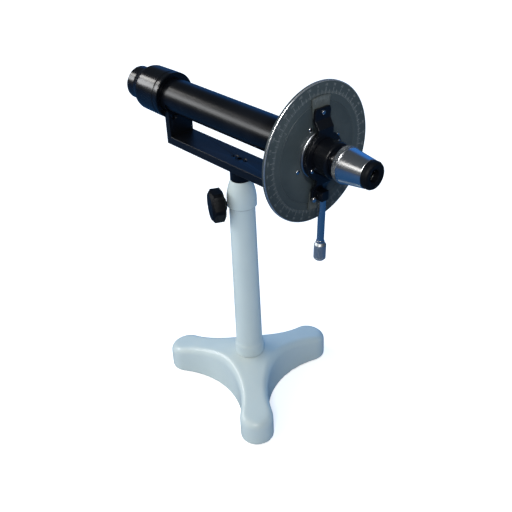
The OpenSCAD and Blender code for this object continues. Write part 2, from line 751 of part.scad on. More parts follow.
module handle_rod() {
  x = arm_low + arm_t + rod_d / 2 - 0.4;
  color([0.72, 0.74, 0.77])
  on_arm() translate([x, handle_y, 0]) {
    translate([0, 0, 23 - handle_reach]) mirror([0, 0, 0]) cylinder(h = handle_reach - 23 - 49.5, r = rod_d / 2);
    translate([0, 0, -49.5]) cylinder(h = 7.4, r = rod_d / 2 - 1);
    translate([0, 0, 8 - handle_reach]) cylinder(h = 15, r = 2.5);
  }
}
module handle_collar() {
  x = arm_low + arm_t + rod_d / 2 - 0.4;
  color([0.90, 0.91, 0.92])
  on_arm() translate([x, handle_y, 21 - handle_reach]) difference() {
    cylinder(h = 2, r = rod_d / 2 + 0.7);
    translate([0, 0, -1]) cylinder(h = 6, r = 2.5 + seat_gap);
  }
}
module handle_grip() {
  x = arm_low + arm_t + rod_d / 2 - 0.4;
  r = grip_d / 2;
  color([0.72, 0.74, 0.77])
  on_arm() translate([x, handle_y, -handle_reach]) difference() {
    rotate_extrude() polygon([[0, 0], [r - 1.6, 0], [r, 1.8], [r, 18], [r - 1.4, 20.4], [rod_d / 2 + 0.7, 21],
      [0, 21]]);
    translate([0, 0, 8]) cylinder(h = 20, r = 2.5 + seat_gap);
    for (k = [0 : 23]) rotate(k * 15) translate([r, 0, 3]) rotate(45) translate([-0.5, -0.5, 0])
      cube([1, 1, 14]);
  }
}

module telescope_tube() {
  color([0.82, 0.84, 0.86])
  on_axis() ring_x(arm_face + 1, scope_end, scope_r, scope_r - 1.4);
}
module eyepiece_sleeve() {
  ring_end = sleeve_x + 6.5;
  color([0.85, 0.87, 0.89])
  on_axis() difference() {
    turned([[0, sleeve_x], [scope_r + 3, sleeve_x], [scope_r + 3, ring_end], [focus_ring_d / 2 - 0.8, ring_end],
      [sleeve_end_d / 2, sleeve_end - 0.6], [sleeve_end_d / 2 - 0.6, sleeve_end], [0, sleeve_end]]);
    rod_x(sleeve_x - 5, sleeve_x + 23, scope_r + run_gap);
    rod_x(sleeve_x, sleeve_end, 9);
    rod_x(sleeve_end - 6, sleeve_end + 5, 12 + seat_gap);
  }
}
module focus_ring() {
  r = focus_ring_d / 2;
  color([0.85, 0.87, 0.89])
  on_axis() difference() {
    turned([[scope_r + 3 + seat_gap, sleeve_x], [r - 0.6, sleeve_x], [r, sleeve_x + 0.6], [r, sleeve_x + 5.9],
      [r - 0.6, sleeve_x + 6.5], [scope_r + 3 + seat_gap, sleeve_x + 6.5]]);
    knurl_x(sleeve_x - 1, sleeve_x + 5, r, 60, 0.6);
  }
}
module field_ring() {
  color([0.12, 0.12, 0.13])
  on_axis() ring_x(sleeve_x + 17.4, sleeve_x + 20, scope_r, scope_r - 2);
}
module field_lens() {
  color([0.75, 0.85, 0.90, 0.5])
  on_axis() rotate([0, 0, 180]) lens_x(-sleeve_x - 23 + seat_gap, scope_r, 1.2, 1.6);
}
module eyecup() {
  r = eyecup_d / 2;
  color([0.03, 0.03, 0.03])
  on_axis() difference() {
    turned([[0, sleeve_end - 6], [12, sleeve_end - 6], [12, sleeve_end], [r, sleeve_end],
      [r, sleeve_end + cup_l - 3], [r - 1.2, sleeve_end + cup_l - 0.8], [r - 3.2, sleeve_end + cup_l],
      [7.2, sleeve_end + cup_l - 1.4], [0, sleeve_end + cup_l - 1.4]]);
    rod_x(sleeve_end - 10, sleeve_end, 8.5 + seat_gap);
    rod_x(sleeve_end - 10, sleeve_end + 20, 6.8);
  }
}
module eye_lens() {
  color([0.75, 0.85, 0.90, 0.5])
  on_axis() lens_x(sleeve_end - 3.6, 8.5, 2, 1.4);
}

tripod_base();
foot_pads();
column();
column_washer();
column_nut();
column_collar();
post();
swivel_screw();
clamp_pad();
clamp_screw();
clamp_knob();
swivel_boss();
boss_screws();
frame_bar();
upright_screws();
front_flange();
polariser_housing();
rear_cap();
collimator_lens();
lens_ring();
polariser_mount();
polariser_prism();
half_shade_cell();
half_shade_plates();
rear_stop();
sample_trough();
cover_sleeve();
sample_glass();
sample_windows();
sample_washers();
sample_caps();
scale_disc();
disc_screws();
hub_ring();
spacer_ring();
bright_ring();
vernier_arm();
vernier_plates();
vernier_screws();
carrier_screws();
analyser_spindle();
spindle_retainer();
analyser_mount();
analyser_prism();
objective_lens();
analyser_drum();
handle_block();
handle_rod();
handle_collar();
handle_grip();
telescope_tube();
eyepiece_sleeve();
focus_ring();
field_ring();
field_lens();
eyecup();
eye_lens();
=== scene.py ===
import math

import bmesh
import bpy
from mathutils import Matrix, Vector


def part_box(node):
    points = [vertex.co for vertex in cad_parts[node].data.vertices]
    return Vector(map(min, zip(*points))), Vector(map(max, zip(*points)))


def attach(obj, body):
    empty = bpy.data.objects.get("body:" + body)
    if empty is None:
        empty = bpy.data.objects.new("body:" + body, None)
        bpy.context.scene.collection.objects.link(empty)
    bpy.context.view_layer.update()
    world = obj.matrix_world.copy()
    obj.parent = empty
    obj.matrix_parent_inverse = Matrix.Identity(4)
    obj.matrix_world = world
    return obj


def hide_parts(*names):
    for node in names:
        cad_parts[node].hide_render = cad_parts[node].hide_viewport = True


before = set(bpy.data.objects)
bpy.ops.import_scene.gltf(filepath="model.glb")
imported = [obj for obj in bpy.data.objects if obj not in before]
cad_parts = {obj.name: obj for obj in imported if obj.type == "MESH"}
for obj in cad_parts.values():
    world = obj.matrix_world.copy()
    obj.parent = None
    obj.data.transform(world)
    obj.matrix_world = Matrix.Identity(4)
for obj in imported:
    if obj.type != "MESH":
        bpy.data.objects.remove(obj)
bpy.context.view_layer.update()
scene = bpy.context.scene
scene.view_settings.view_transform = "Standard"

# Camera
# It stands at the right of the eyepiece end and looks down on the instrument,
# where the photograph was taken from.
CAMERA_PLACE = Vector((0.61443, -0.52848, 0.73179))
CAMERA_YAW = math.radians(48.33)
CAMERA_PITCH = math.radians(33.07)
CAMERA_ROLL = math.radians(-2.58)
LENS_MM = 55.02
SENSOR_MM = 36
NEAREST, FARTHEST = 0.01, 40
camera = bpy.data.objects.new("camera", bpy.data.cameras.new("camera"))
scene.collection.objects.link(camera)
scene.camera = camera
camera.data.sensor_width = SENSOR_MM
camera.data.lens = LENS_MM
camera.data.clip_start = NEAREST
camera.data.clip_end = FARTHEST
backward = Vector((
    math.sin(CAMERA_YAW) * math.cos(CAMERA_PITCH),
    -math.cos(CAMERA_YAW) * math.cos(CAMERA_PITCH),
    math.sin(CAMERA_PITCH),
))
level_right = Vector((math.cos(CAMERA_YAW), math.sin(CAMERA_YAW), 0))
level_up = backward.cross(level_right)
view_right = math.cos(CAMERA_ROLL) * level_right + math.sin(CAMERA_ROLL) * level_up
view_up = math.cos(CAMERA_ROLL) * level_up - math.sin(CAMERA_ROLL) * level_right
turn = Matrix((view_right, view_up, backward)).transposed().to_4x4()
camera.matrix_world = Matrix.Translation(CAMERA_PLACE) @ turn


# Room and lamps
# A white floor in a pale room with blue daylight on its far side. A wide low lamp stands at
# the left, smaller ones shine on the housing and the eyepiece, and a spot on the dial.
class Wire:
    """One socket of a node tree. Sums on it add the nodes that work them out."""

    def __init__(self, graph, socket):
        self.graph = graph
        self.socket = socket

    def math(self, operation, *values):
        return self.graph.node("ShaderNodeMath", {"operation": operation}, dict(enumerate(values)))

    def __add__(self, other):
        return self.math("ADD", self, other)

    __radd__ = __add__

    def __sub__(self, other):
        return self.math("SUBTRACT", self, other)

    def __rsub__(self, other):
        return self.math("SUBTRACT", other, self)

    def __mul__(self, other):
        return self.math("MULTIPLY", self, other)

    def __pow__(self, other):
        return self.math("POWER", self, other)

    def __gt__(self, other):
        return self.math("GREATER_THAN", self, other)

    def root(self):
        return self.math("SQRT", self)


class Graph:
    """A node tree, with the few calls that every finish here is written in."""

    def __init__(self, tree):
        self.tree = tree

    def feed(self, socket, value):
        if isinstance(value, Wire):
            self.tree.links.new(value.socket, socket)
        elif socket.type == "RGBA" and len(value) == 3:
            socket.default_value = (*value, 1)
        else:
            socket.default_value = value

    def node(self, kind, settings=None, values=None, output=0):
        made = self.tree.nodes.new(kind)
        for key, value in (settings or {}).items():
            setattr(made, key, value)
        for socket, value in (values or {}).items():
            self.feed(made.inputs[socket], value)
        return Wire(self, made.outputs[output])

    def parts(self, vector):
        split = self.node("ShaderNodeSeparateXYZ", values={0: vector})
        return [Wire(self, socket) for socket in split.socket.node.outputs]

    def blend(self, mask, first, second):
        values = {0: mask, 6: first, 7: second}
        return self.node("ShaderNodeMix", {"data_type": "RGBA"}, values, output=2)

    def fade(self, value, low, high):
        values = {"Value": value, "From Min": low, "From Max": high}
        return self.node("ShaderNodeMapRange", {"interpolation_type": "SMOOTHSTEP"}, values)

    def ray(self, kind):
        """1 for rays of one kind, such as those from the camera, and 0 for the others."""
        return self.node("ShaderNodeLightPath", output=f"Is {kind} Ray")

    def in_view(self):
        """1 for what the camera sees, directly or through glass."""
        return (self.ray("Camera") + self.ray("Transmission")) > 0.5


# The dull faces of the part see the first three, and its polished ones the dim and blue room.
PALE_ROOM = (0.36, 0.37, 0.36)
WINDOW = (1.40, 1.36, 1.26)
DAYLIGHT = (0.16, 0.50, 0.98)
DIM_ROOM = (0.05, 0.06, 0.07)
BLUE_ROOM = (0.04, 0.20, 0.62)
WHITE = (1, 1, 1)
BLUE_SIDE = Vector((-0.45, 0.85, 0.26)).normalized()
WINDOW_SIDE = Vector((-0.72, -0.68, 0.10)).normalized()
world = bpy.data.worlds.new("room")
world.use_nodes = True
scene.world = world
room = Graph(world.node_tree)


def toward(side, low, high):
    """Rises from 0 to 1 as the direction that the room is seen in turns toward a side."""
    direction = room.node("ShaderNodeTexCoord", output="Generated")
    between = {0: direction, 1: side}
    cosine = room.node(
        "ShaderNodeVectorMath", {"operation": "DOT_PRODUCT"}, between, output="Value"
    )
    return room.fade(cosine, low, high)


dull_room = room.blend(toward(WINDOW_SIDE, 0.1, 0.9), PALE_ROOM, WINDOW)
dull_room = room.blend(toward(BLUE_SIDE, 0.0, 0.8), dull_room, DAYLIGHT)
mirrored_room = room.blend(toward(BLUE_SIDE, 0.84, 0.97), DIM_ROOM, BLUE_ROOM)
room_colour = room.blend(room.ray("Glossy"), dull_room, mirrored_room)
room_light = world.node_tree.nodes["Background"]
room.feed(room_light.inputs["Color"], room.blend(room.in_view(), room_colour, WHITE))
room_light.inputs["Strength"].default_value = 1.0


def aimed(place, aim):
    """The seat of a light that stands at one point and shines at another."""
    return Matrix.Translation(place) @ (aim - place).to_track_quat("-Z", "Y").to_matrix().to_4x4()


HEAD_CENTRE = Vector((0, 0, 0.37))
HEAD_FRONT = Vector((0.12, 0, 0.417))
COOL = (0.98, 0.99, 1.0)
NEUTRAL = (1.0, 0.98, 0.95)
WARM = (1.0, 0.97, 0.92)
# Each lamp's name, place, aim, width and height in metres, power in watts, and colour.
SOFT_LAMPS = (
    ("low_left", Vector((-1.18, -0.98, 0.95)), HEAD_CENTRE, (1.05, 0.42), 10, COOL),
    ("over_housing", Vector((-1.67, -0.546, 1.385)), HEAD_CENTRE, (0.30, 0.30), 3.2, NEUTRAL),
    ("eyepiece_side", Vector((0.85, -1.00, 1.20)), HEAD_CENTRE, (0.24, 0.24), 8, WARM),
    ("over_sleeve", Vector((-0.244, -1.196, 1.17)), HEAD_FRONT, (0.40, 0.40), 0.9, WARM),
)
for name, place, aim, size, power, colour in SOFT_LAMPS:
    light = bpy.data.lights.new(name, "AREA")
    light.shape = "RECTANGLE"
    light.size, light.size_y = size
    light.energy = power
    light.color = colour
    made = bpy.data.objects.new(name, light)
    scene.collection.objects.link(made)
    made.matrix_world = aimed(place, aim)

SPOT_FROM = Vector((1.24, -0.42, 1.40))
SPOT_WATTS = 66
SPOT_CONE = math.radians(5.7)
SPOT_EDGE = 0.2
SPOT_BULB = 0.02
spot = bpy.data.lights.new("on_the_dial", "SPOT")
spot.energy = SPOT_WATTS
spot.spot_size = SPOT_CONE
spot.spot_blend = SPOT_EDGE
spot.shadow_soft_size = SPOT_BULB
spot_place = bpy.data.objects.new("on_the_dial", spot)
scene.collection.objects.link(spot_place)
spot_place.matrix_world = aimed(SPOT_FROM, HEAD_FRONT)

# The floor is white to the camera, sends a little blue up at the part, and is a dark blue
# in its polished faces.
FLOOR_HALF = 9
FLOOR_SEEN, FLOOR_SEEN_GLOW = (0.80, 0.80, 0.80), (0.62, 0.62, 0.62)
FLOOR_BOUNCE, FLOOR_BOUNCE_GLOW = (0.68, 0.76, 0.86), (0, 0, 0)
FLOOR_MIRRORED, FLOOR_MIRRORED_GLOW = (0.02, 0.06, 0.13), (0.00, 0.02, 0.06)
floor_mesh = bmesh.new()
bmesh.ops.create_grid(floor_mesh, x_segments=2, y_segments=2, size=FLOOR_HALF)
floor_data = bpy.data.meshes.new("floor")
floor_mesh.to_mesh(floor_data)
floor_mesh.free()
floor = bpy.data.objects.new("floor", floor_data)
scene.collection.objects.link(floor)
floor_material = bpy.data.materials.new("white_floor")
floor_material.use_nodes = True
floor_data.materials.append(floor_material)
paper = Graph(floor_material.node_tree)
paper_shader = floor_material.node_tree.nodes["Principled BSDF"]
paper_shader.inputs["Roughness"].default_value = 0.9
paper_shader.inputs["Specular IOR Level"].default_value = 0.0
paper_shader.inputs["Emission Strength"].default_value = 1.0
mirrored = paper.ray("Glossy")
sheet = paper.blend(paper.ray("Camera"), FLOOR_BOUNCE, FLOOR_SEEN)
sheet = paper.blend(mirrored, sheet, FLOOR_MIRRORED)
glow = paper.blend(mirrored, FLOOR_BOUNCE_GLOW, FLOOR_MIRRORED_GLOW)
glow = paper.blend(paper.in_view(), glow, FLOOR_SEEN_GLOW)
paper.feed(paper_shader.inputs["Base Color"], sheet)
paper.feed(paper_shader.inputs["Emission Color"], glow)


# Tripod base
# One iron casting with three round-ended legs, hollow underneath, in pale grey gloss paint.
# The skin is the casting's own shape worked over, so that its edges run out softly.
MM = 0.001


class Finish(Graph):
    """A painted, plated, moulded or ground surface: one material and what feeds its shader."""

    def __init__(self, name, **even):
        self.material = bpy.data.materials.new(name)
        self.material.use_nodes = True
        super().__init__(self.material.node_tree)
        self.shader = self.tree.nodes["Principled BSDF"]
        for socket, value in even.items():
            self.shader.inputs[socket.replace("_", " ")].default_value = value

    def place(self):
        return self.node("ShaderNodeTexCoord", output="Object")

    def noise(self, scale, detail=2.0, stretch=(1, 1, 1)):
        place = self.node("ShaderNodeMapping", values={"Vector": self.place(), "Scale": stretch})
        values = {"Vector": place, "Scale": scale, "Detail": detail}
        return self.node("ShaderNodeTexNoise", values=values)

    def facing_up(self):
        normal = self.node("ShaderNodeNewGeometry", output="Normal")
        return self.parts(normal)[2]

    def relief(self, height, depth):
        values = {"Height": height, "Distance": depth, "Strength": 1.0}
        return self.node("ShaderNodeBump", values=values)

    def cover(self, **changing):
        for socket, value in changing.items():
            self.feed(self.shader.inputs[socket.replace("_", " ")], value)
        return self.material


# Painted shade: the colour of a dark line painted just above a seam, where a step casts its shadow.
PAINTED_SEAM_SHADE = (0.09, 0.11, 0.12)


def gloss_paint(name, colours, roughness, peel, shine=0.25, bend=1.5, seam=None):
    """Sprayed paint: slow patches, a fine peel, dust where it lies flat, painted shade at a seam.
    """
    colour, patch, dust = colours
    paint = Finish(name, Coat_Roughness=0.12, Coat_Weight=shine, IOR=bend)
    patches = paint.fade(paint.noise(22, 3), 0.35, 0.65)
    specks = paint.fade(paint.noise(700, 4), 0.60, 0.72)
    lying = paint.fade(paint.facing_up(), 0.6, 1.0) * paint.fade(paint.noise(60, 5), 0.35, 0.75)
    tone = paint.blend(patches, colour, patch)
    tone = paint.blend(lying * 0.30 + specks * 0.12, tone, dust)
    if seam:
        # The lowest millimetre above the seam is darkened, a painted shade line under the step.
        above = paint.fade(paint.parts(paint.place())[2], seam + 0.4 * MM, seam + 1.1 * MM)
        tone = paint.blend((1 - above) * 0.8, tone, PAINTED_SEAM_SHADE)
    orange_peel = paint.noise(420, 2) + paint.noise(1500, 1) * 0.25
    return paint.cover(
        Base_Color=tone,
        Roughness=roughness + patches * 0.03,
        Normal=paint.relief(orange_peel, peel),
    )


def new_object(name, work, material, smooth_angle=35):
    """Makes a finished piece of a bmesh, with its faces smooth up to the given angle."""
    data = bpy.data.meshes.new(name)
    work.to_mesh(data)
    work.free()
    data.shade_smooth()
    data.set_sharp_from_angle(angle=math.radians(smooth_angle))
    data.materials.clear()
    data.materials.append(material)
    made = bpy.data.objects.new(name, data)
    scene.collection.objects.link(made)
    return made


def fit(piece, body, slot, *nodes):
    """Seats a piece on its body and puts it in place of the CAD nodes; the slot is not used."""
    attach(piece, body)
    if nodes:
        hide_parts(*nodes)


WELD = 0.002 * MM


def merged(*nodes):
    """The CAD nodes as one joined mesh with shared corners."""
    work = bmesh.new()
    for node in nodes:
        work.from_mesh(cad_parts[node].data)
    bmesh.ops.remove_doubles(work, verts=work.verts, dist=WELD)
    return work


BASE_VOXEL = 1.5 * MM
SMOOTHING_ROUNDS = 6
# The paint itself, its slow patches, and the dust on it.
GREY = ((0.482, 0.566, 0.584), (0.500, 0.584, 0.600), (0.54, 0.59, 0.58))
GREY_ROUGHNESS = 0.34
GREY_PEEL = 0.012 * MM
grey_paint = gloss_paint("pale_grey_gloss_paint", GREY, GREY_ROUGHNESS, GREY_PEEL)
base_rough = new_object("base_rough", merged("tripod_base"), grey_paint)
remesh = base_rough.modifiers.new("even_skin", "REMESH")
remesh.mode = "VOXEL"
remesh.voxel_size = BASE_VOXEL
evaluated = base_rough.evaluated_get(bpy.context.evaluated_depsgraph_get())
work = bmesh.new()
work.from_mesh(evaluated.data)
for _ in range(SMOOTHING_ROUNDS):
    bmesh.ops.smooth_vert(
        work, verts=work.verts, factor=0.5, use_axis_x=True, use_axis_y=True, use_axis_z=True
    )
base_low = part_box("tripod_base")[0].z
for vertex in work.verts:
    vertex.co.z = max(vertex.co.z, base_low)
bpy.data.objects.remove(base_rough)
base = new_object("tripod_base_skin", work, grey_paint, 60)
fit(base, "stand", "grey_paint", "tripod_base")


# Foot pads
# Three soft rubber discs under the leg ends, glued into their recesses.
rubber = Finish("soft_rubber", Specular_IOR_Level=0.3)
rubber_grain = rubber.noise(1200, 3)
rubber.cover(
    Base_Color=rubber.blend(rubber_grain, (0.018, 0.018, 0.019), (0.035, 0.034, 0.033)),
    Roughness=0.7 + rubber_grain * 0.2,
    Normal=rubber.relief(rubber_grain, 0.03 * MM),
)


SAME_LEVEL = 0.005 * MM
SAME_RADIUS = 0.01 * MM
LEAST_STRAIGHT, MOST_STRAIGHT = 0.08, 0.6
FLAT_ANGLE = math.radians(0.4)


def rounder(work, axis, centre):
    """Splits each straight of the circles round an axis in three, out on the true circle."""
    def off_axis(corner):
        away = corner.co - centre
        away[axis] = 0
        return away

    def coarse(edge):
        first, second = edge.verts
        size = off_axis(first).length
        level = abs(first.co[axis] - second.co[axis]) < SAME_LEVEL
        even = abs(size - off_axis(second).length) < SAME_RADIUS
        long = LEAST_STRAIGHT * size < edge.calc_length() < MOST_STRAIGHT * size
        return level and even and long

    straights = [edge for edge in work.edges if coarse(edge)]
    old = set(work.verts)
    bmesh.ops.subdivide_edges(work, edges=straights, cuts=2, use_grid_fill=True)
    for corner in set(work.verts) - old:
        ends = [edge.other_vert(corner) for edge in corner.link_edges]
        level = [
            end for end in ends
            if end in old and abs(end.co[axis] - corner.co[axis]) < SAME_LEVEL
        ]
        away = off_axis(corner)
        if level and away.length > 0:
            corner.co += away * (off_axis(level[0]).length / away.length - 1)


def eased(name, width, material, *nodes, angle=30, segments=2, turned=None):
    """A copy of CAD nodes with its sharp edges broken, as files and paint leave them."""
    work = merged(*nodes)
    bmesh.ops.dissolve_limit(
        work, angle_limit=FLAT_ANGLE, verts=work.verts, edges=work.edges
    )
    if turned:
        rounder(work, *turned)
    sharp = [
        edge for edge in work.edges
        if edge.is_manifold
        and edge.calc_face_angle() > math.radians(angle)
        and edge.calc_length() > width
    ]
    bmesh.ops.bevel(
        work, geom=sharp, affect="EDGES", offset=width, offset_type="OFFSET", segments=segments,
        profile=0.5, material=-1, clamp_overlap=True,
    )
    bmesh.ops.triangulate(work, faces=[face for face in work.faces if len(face.verts) > 4])
    made = new_object(name, work, material)
    made.modifiers.new("flats_stay_flat", "WEIGHTED_NORMAL").keep_sharp = True
    return made


pads = eased("foot_pad_rubber", 0.6 * MM, rubber.material, "foot_pads")
fit(pads, "stand", "rubber", "foot_pads")


# Column
# A turned tapered column with a thick foot ring, pulled down into the base by a nut
# and a washer under the hub. It wears the same pale grey paint as the base.
UPRIGHT = (2, Vector((0, 0, 0)))
# The collar's paint is darkened along its seam with the column, a painted shade line.
collar_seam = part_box("column")[1].z
collar_paint = gloss_paint(
    "pale_grey_collar_paint", GREY, GREY_ROUGHNESS, GREY_PEEL, seam=collar_seam
)
for name, paint in (("column", grey_paint), ("column_collar", collar_paint)):
    made = eased(name + "_turned", 0.4 * MM, paint, name, angle=40, turned=UPRIGHT)
    fit(made, "stand", "grey_paint", name)


def ground_steel(name, colour, grain_along, roughness):
    """Ground or turned steel: a fine grain across the axis that it was turned on."""
    steel = Finish(name, Metallic=1.0)
    stretch = [1 if axis == grain_along else 0.12 for axis in "XYZ"]
    grain = steel.noise(2600, 2, stretch)
    worn = steel.fade(steel.noise(45, 4), 0.45, 0.75)
    darker = tuple(part * 0.82 for part in colour)
    return steel.cover(
        Base_Color=steel.blend(grain * 0.6 + worn * 0.3, colour, darker),
        Roughness=roughness + grain * 0.10 + worn * 0.08,
        Normal=steel.relief(grain, 0.004 * MM),
    )


turned_steel = ground_steel("turned_steel", (0.56, 0.57, 0.58), "Z", 0.26)
for name, body in (("column_washer", "stand"), ("column_nut", "stand"), ("post", "pillar")):
    fit(eased(name + "_steel", 0.2 * MM, turned_steel, name), body, "steel", name)


# Clamp
# A six-sided moulded knob pressed on a steel screw, whose brass tip bears on the post.
knob_plastic = Finish("moulded_black", Specular_IOR_Level=0.16)
knob_grain = knob_plastic.noise(900, 3)
knob_wear = knob_plastic.fade(knob_plastic.noise(130, 5), 0.55, 0.8)
knob_plastic.cover(
    Base_Color=knob_plastic.blend(knob_wear * 0.5, (0.002, 0.003, 0.005), (0.007, 0.009, 0.012)),
    Roughness=0.42 + knob_grain * 0.15 + knob_wear * 0.1,
    Normal=knob_plastic.relief(knob_grain, 0.02 * MM),
)
knob = eased(
    "clamp_knob_moulded", 0.8 * MM, knob_plastic.material, "clamp_knob", angle=22, segments=3
)
fit(knob, "clamp", "black_plastic", "clamp_knob")
screw = eased("clamp_screw_steel", 0.2 * MM, turned_steel, "clamp_screw")
fit(screw, "clamp", "steel", "clamp_screw")
brass = Finish("turned_brass", Metallic=1.0)
brass_grain = brass.noise(2200, 2, (1, 0.15, 0.15))
brass.cover(
    Base_Color=brass.blend(brass.noise(60, 4), (0.62, 0.43, 0.15), (0.45, 0.30, 0.11)),
    Roughness=0.28 + brass_grain * 0.14,
    Normal=brass.relief(brass_grain, 0.004 * MM),
)
tip = eased("clamp_tip_brass", 0.2 * MM, brass.material, "clamp_pad")
fit(tip, "clamp_tip", "brass", "clamp_pad")


# Frame, housings and tube
# The swivel boss, the bent bar, the light housing with its cap, the disc flange and the
# tubes are black painted metal, the bar in satin. Their screws are blackened steel.
AXIS_Z = (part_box("cover_sleeve")[0].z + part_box("cover_sleeve")[1].z) / 2
OPTICAL = (0, Vector((0, 0, AXIS_Z)))
BLACK = ((0.0014, 0.0018, 0.0032), (0.0022, 0.0028, 0.0046), (0.004, 0.005, 0.007))
black_paint = gloss_paint("black_gloss_paint", BLACK, 0.28, 0.002 * MM, shine=0.0, bend=1.40)
black_enamel = gloss_paint("black_enamel", BLACK, 0.20, 0.002 * MM, shine=0.0, bend=1.55)
black_satin = gloss_paint("black_satin_paint", BLACK, 0.36, 0.004 * MM, shine=0.0, bend=1.5)
# For each piece the width of its broken edges in mm, its paint, and the axis it was turned on.
BLACK_PIECES = {
    "swivel_boss": (0.5, black_paint, UPRIGHT),
    "frame_bar": (0.8, black_satin, None),
    "front_flange": (0.4, black_paint, OPTICAL),
    "polariser_housing": (0.35, black_enamel, OPTICAL),
    "rear_cap": (0.35, black_enamel, OPTICAL),
    "sample_trough": (0.25, black_paint, OPTICAL),
}
for name, (width, paint, turned) in BLACK_PIECES.items():
    made = eased(name + "_painted", width * MM, paint, name, turned=turned)
    fit(made, "head", "black_paint", name)
cover = eased("cover_sleeve_painted", 0.3 * MM, black_paint, "cover_sleeve", turned=OPTICAL)
fit(cover, "cover", "black_paint", "cover_sleeve")
black_steel = ground_steel("blackened_steel", (0.030, 0.031, 0.034), "Z", 0.36)
for name, body in (("swivel_screw", "pillar"), ("boss_screws", "head"), ("upright_screws", "head")):
    fit(eased(name + "_blackened", 0.2 * MM, black_steel, name), body, "steel", name)


# Optics
# Lenses, prisms, half-shade plates and the glass sample tube, in brass and steel cells.
glass = Finish("optical_glass", Transmission_Weight=1.0, IOR=1.52, Specular_IOR_Level=0.5)
glass_dust = glass.fade(glass.noise(500, 4), 0.62, 0.8)
glass.cover(
    Base_Color=glass.blend(glass_dust, (0.93, 0.96, 0.97), (0.82, 0.86, 0.86)),
    Roughness=0.01 + glass_dust * 0.05,
)
cell_black = Finish("blackened_brass", Metallic=0.6)
cell_grain = cell_black.noise(1800, 2, (1, 0.2, 0.2))
cell_black.cover(
    Base_Color=cell_black.blend(cell_grain, (0.02, 0.02, 0.021), (0.045, 0.043, 0.04)),
    Roughness=0.45 + cell_grain * 0.15,
)
sealing = Finish("red_sealing_rubber", Specular_IOR_Level=0.3)
sealing.cover(
    Base_Color=sealing.blend(sealing.noise(900), (0.30, 0.05, 0.035), (0.22, 0.04, 0.03)),
    Roughness=0.65 + sealing.noise(400) * 0.1,
)
INNER_FINISH = {
    glass.material: (
        "collimator_lens", "polariser_prism", "half_shade_plates", "sample_glass",
        "sample_windows", "analyser_prism", "objective_lens", "field_lens", "eye_lens",
    ),
    cell_black.material: (
        "lens_ring", "polariser_mount", "half_shade_cell", "rear_stop", "analyser_mount",
        "field_ring",
    ),
    brass.material: ("sample_caps", "analyser_spindle", "spindle_retainer"),
    sealing.material: ("sample_washers",),
}
for material, names in INNER_FINISH.items():
    for name in names:
        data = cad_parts[name].data
        data.materials.clear()
        data.materials.append(material)


# Scale disc
# A turned disc in dark satin paint with a bright bare rim, darker inside a circle within the scale,
# and a degree scale cut all round, its lines and its numbers filled with pale paint.
DISC_R = (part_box("scale_disc")[1].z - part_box("scale_disc")[0].z) / 2
DISC_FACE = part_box("scale_disc")[1].x
SCALE_R = 61 * MM
BARE_RIM = (DISC_R - 1.0 * MM, DISC_R - 0.6 * MM)
FRONT_EDGE = (DISC_FACE - 0.9 * MM, DISC_FACE - 0.5 * MM)
INNER_BAND = (53.4 * MM, 54.0 * MM)
dark_satin = Finish("dark_satin_disc", IOR=1.3)
across, side, height = dark_satin.parts(dark_satin.place())
out = (side * side + (height - AXIS_Z) ** 2).root()
rings = dark_satin.node("ShaderNodeCombineXYZ", values={0: out * 1800, 1: across * 40, 2: 0.0})
tool_marks = dark_satin.node(
    "ShaderNodeTexNoise", values={"Vector": rings, "Scale": 1.0, "Detail": 3.0}
)
smears = dark_satin.fade(dark_satin.noise(28, 4), 0.4, 0.75)
bare_rim = dark_satin.fade(out, *BARE_RIM) * dark_satin.fade(across, *FRONT_EDGE)
inner_band = 1 - dark_satin.fade(out, *INNER_BAND)
satin = dark_satin.blend(inner_band * 0.7, (0.030, 0.040, 0.044), (0.022, 0.030, 0.034))
satin = dark_satin.blend(smears * 0.35 + tool_marks * 0.2, satin, (0.048, 0.060, 0.064))
dark_satin.cover(
    Base_Color=dark_satin.blend(bare_rim, satin, (0.72, 0.73, 0.74)),
    Metallic=bare_rim * 0.95,
    Roughness=0.40 + smears * 0.10 - bare_rim * 0.15,
    Normal=dark_satin.relief(tool_marks, 0.006 * MM),
)
disc = eased("scale_disc_satin", 0.15 * MM, dark_satin.material, "scale_disc", angle=40, segments=1)
fit(disc, "head", "dark_satin_paint", "scale_disc")

filled_line = Finish("pale_line_filling", Specular_IOR_Level=0.3)
filling_wear = filled_line.noise(1500, 3)
filled_line.cover(
    Base_Color=filled_line.blend(filling_wear, (0.15, 0.165, 0.17), (0.11, 0.125, 0.13)),
    Roughness=0.5 + filling_wear * 0.2,
)


def on_face(x, angle, radius):
    """A seat on a face that looks along +X, at an angle round the axis and a way out from it."""
    turn = Matrix.Rotation(angle, 4, "X")
    return Matrix.Translation((x, 0, AXIS_Z)) @ turn @ Matrix.Translation((0, 0, radius))


def face_line(work, radius, length, width, angle, x, thick):
    """One straight filling on a face that looks along +X, pointing away from the axis."""
    box = bmesh.ops.create_cube(work, size=1)["verts"]
    shape = Matrix.Diagonal((thick, width, length, 1))
    seat = on_face(x, angle, radius + length / 2) @ shape
    bmesh.ops.transform(work, verts=box, matrix=seat)


# The length and width of the lines at every degree, at every fifth and at every tenth. Those
# at every fifth degree are cut into the disc, and the finer ones are printed on it.
DEGREE_LINE = (2.8 * MM, 0.17 * MM)
FIFTH_LINE = (4.2 * MM, 0.4 * MM)
TENTH_LINE = (6.6 * MM, 0.4 * MM)
LINE_START = SCALE_R + 0.4 * MM
LINE_T = 0.06 * MM
CUT_LINE_T = 0.27 * MM
CUT_LINE_X = DISC_FACE - 0.115 * MM
work = bmesh.new()
for degree in range(360):
    angle = math.radians(-degree)
    if degree % 5:
        face_line(work, LINE_START, *DEGREE_LINE, angle, DISC_FACE, LINE_T)
    else:
        line = FIFTH_LINE if degree % 10 else TENTH_LINE
        face_line(work, LINE_START, *line, angle, CUT_LINE_X, CUT_LINE_T)
fit(new_object("degree_lines", work, filled_line.material), "head", "white_marked_metal")


NUMBER_R = 70.4 * MM
NUMBER_SIZE = 3.4 * MM
NUMBER_T = 0.03 * MM


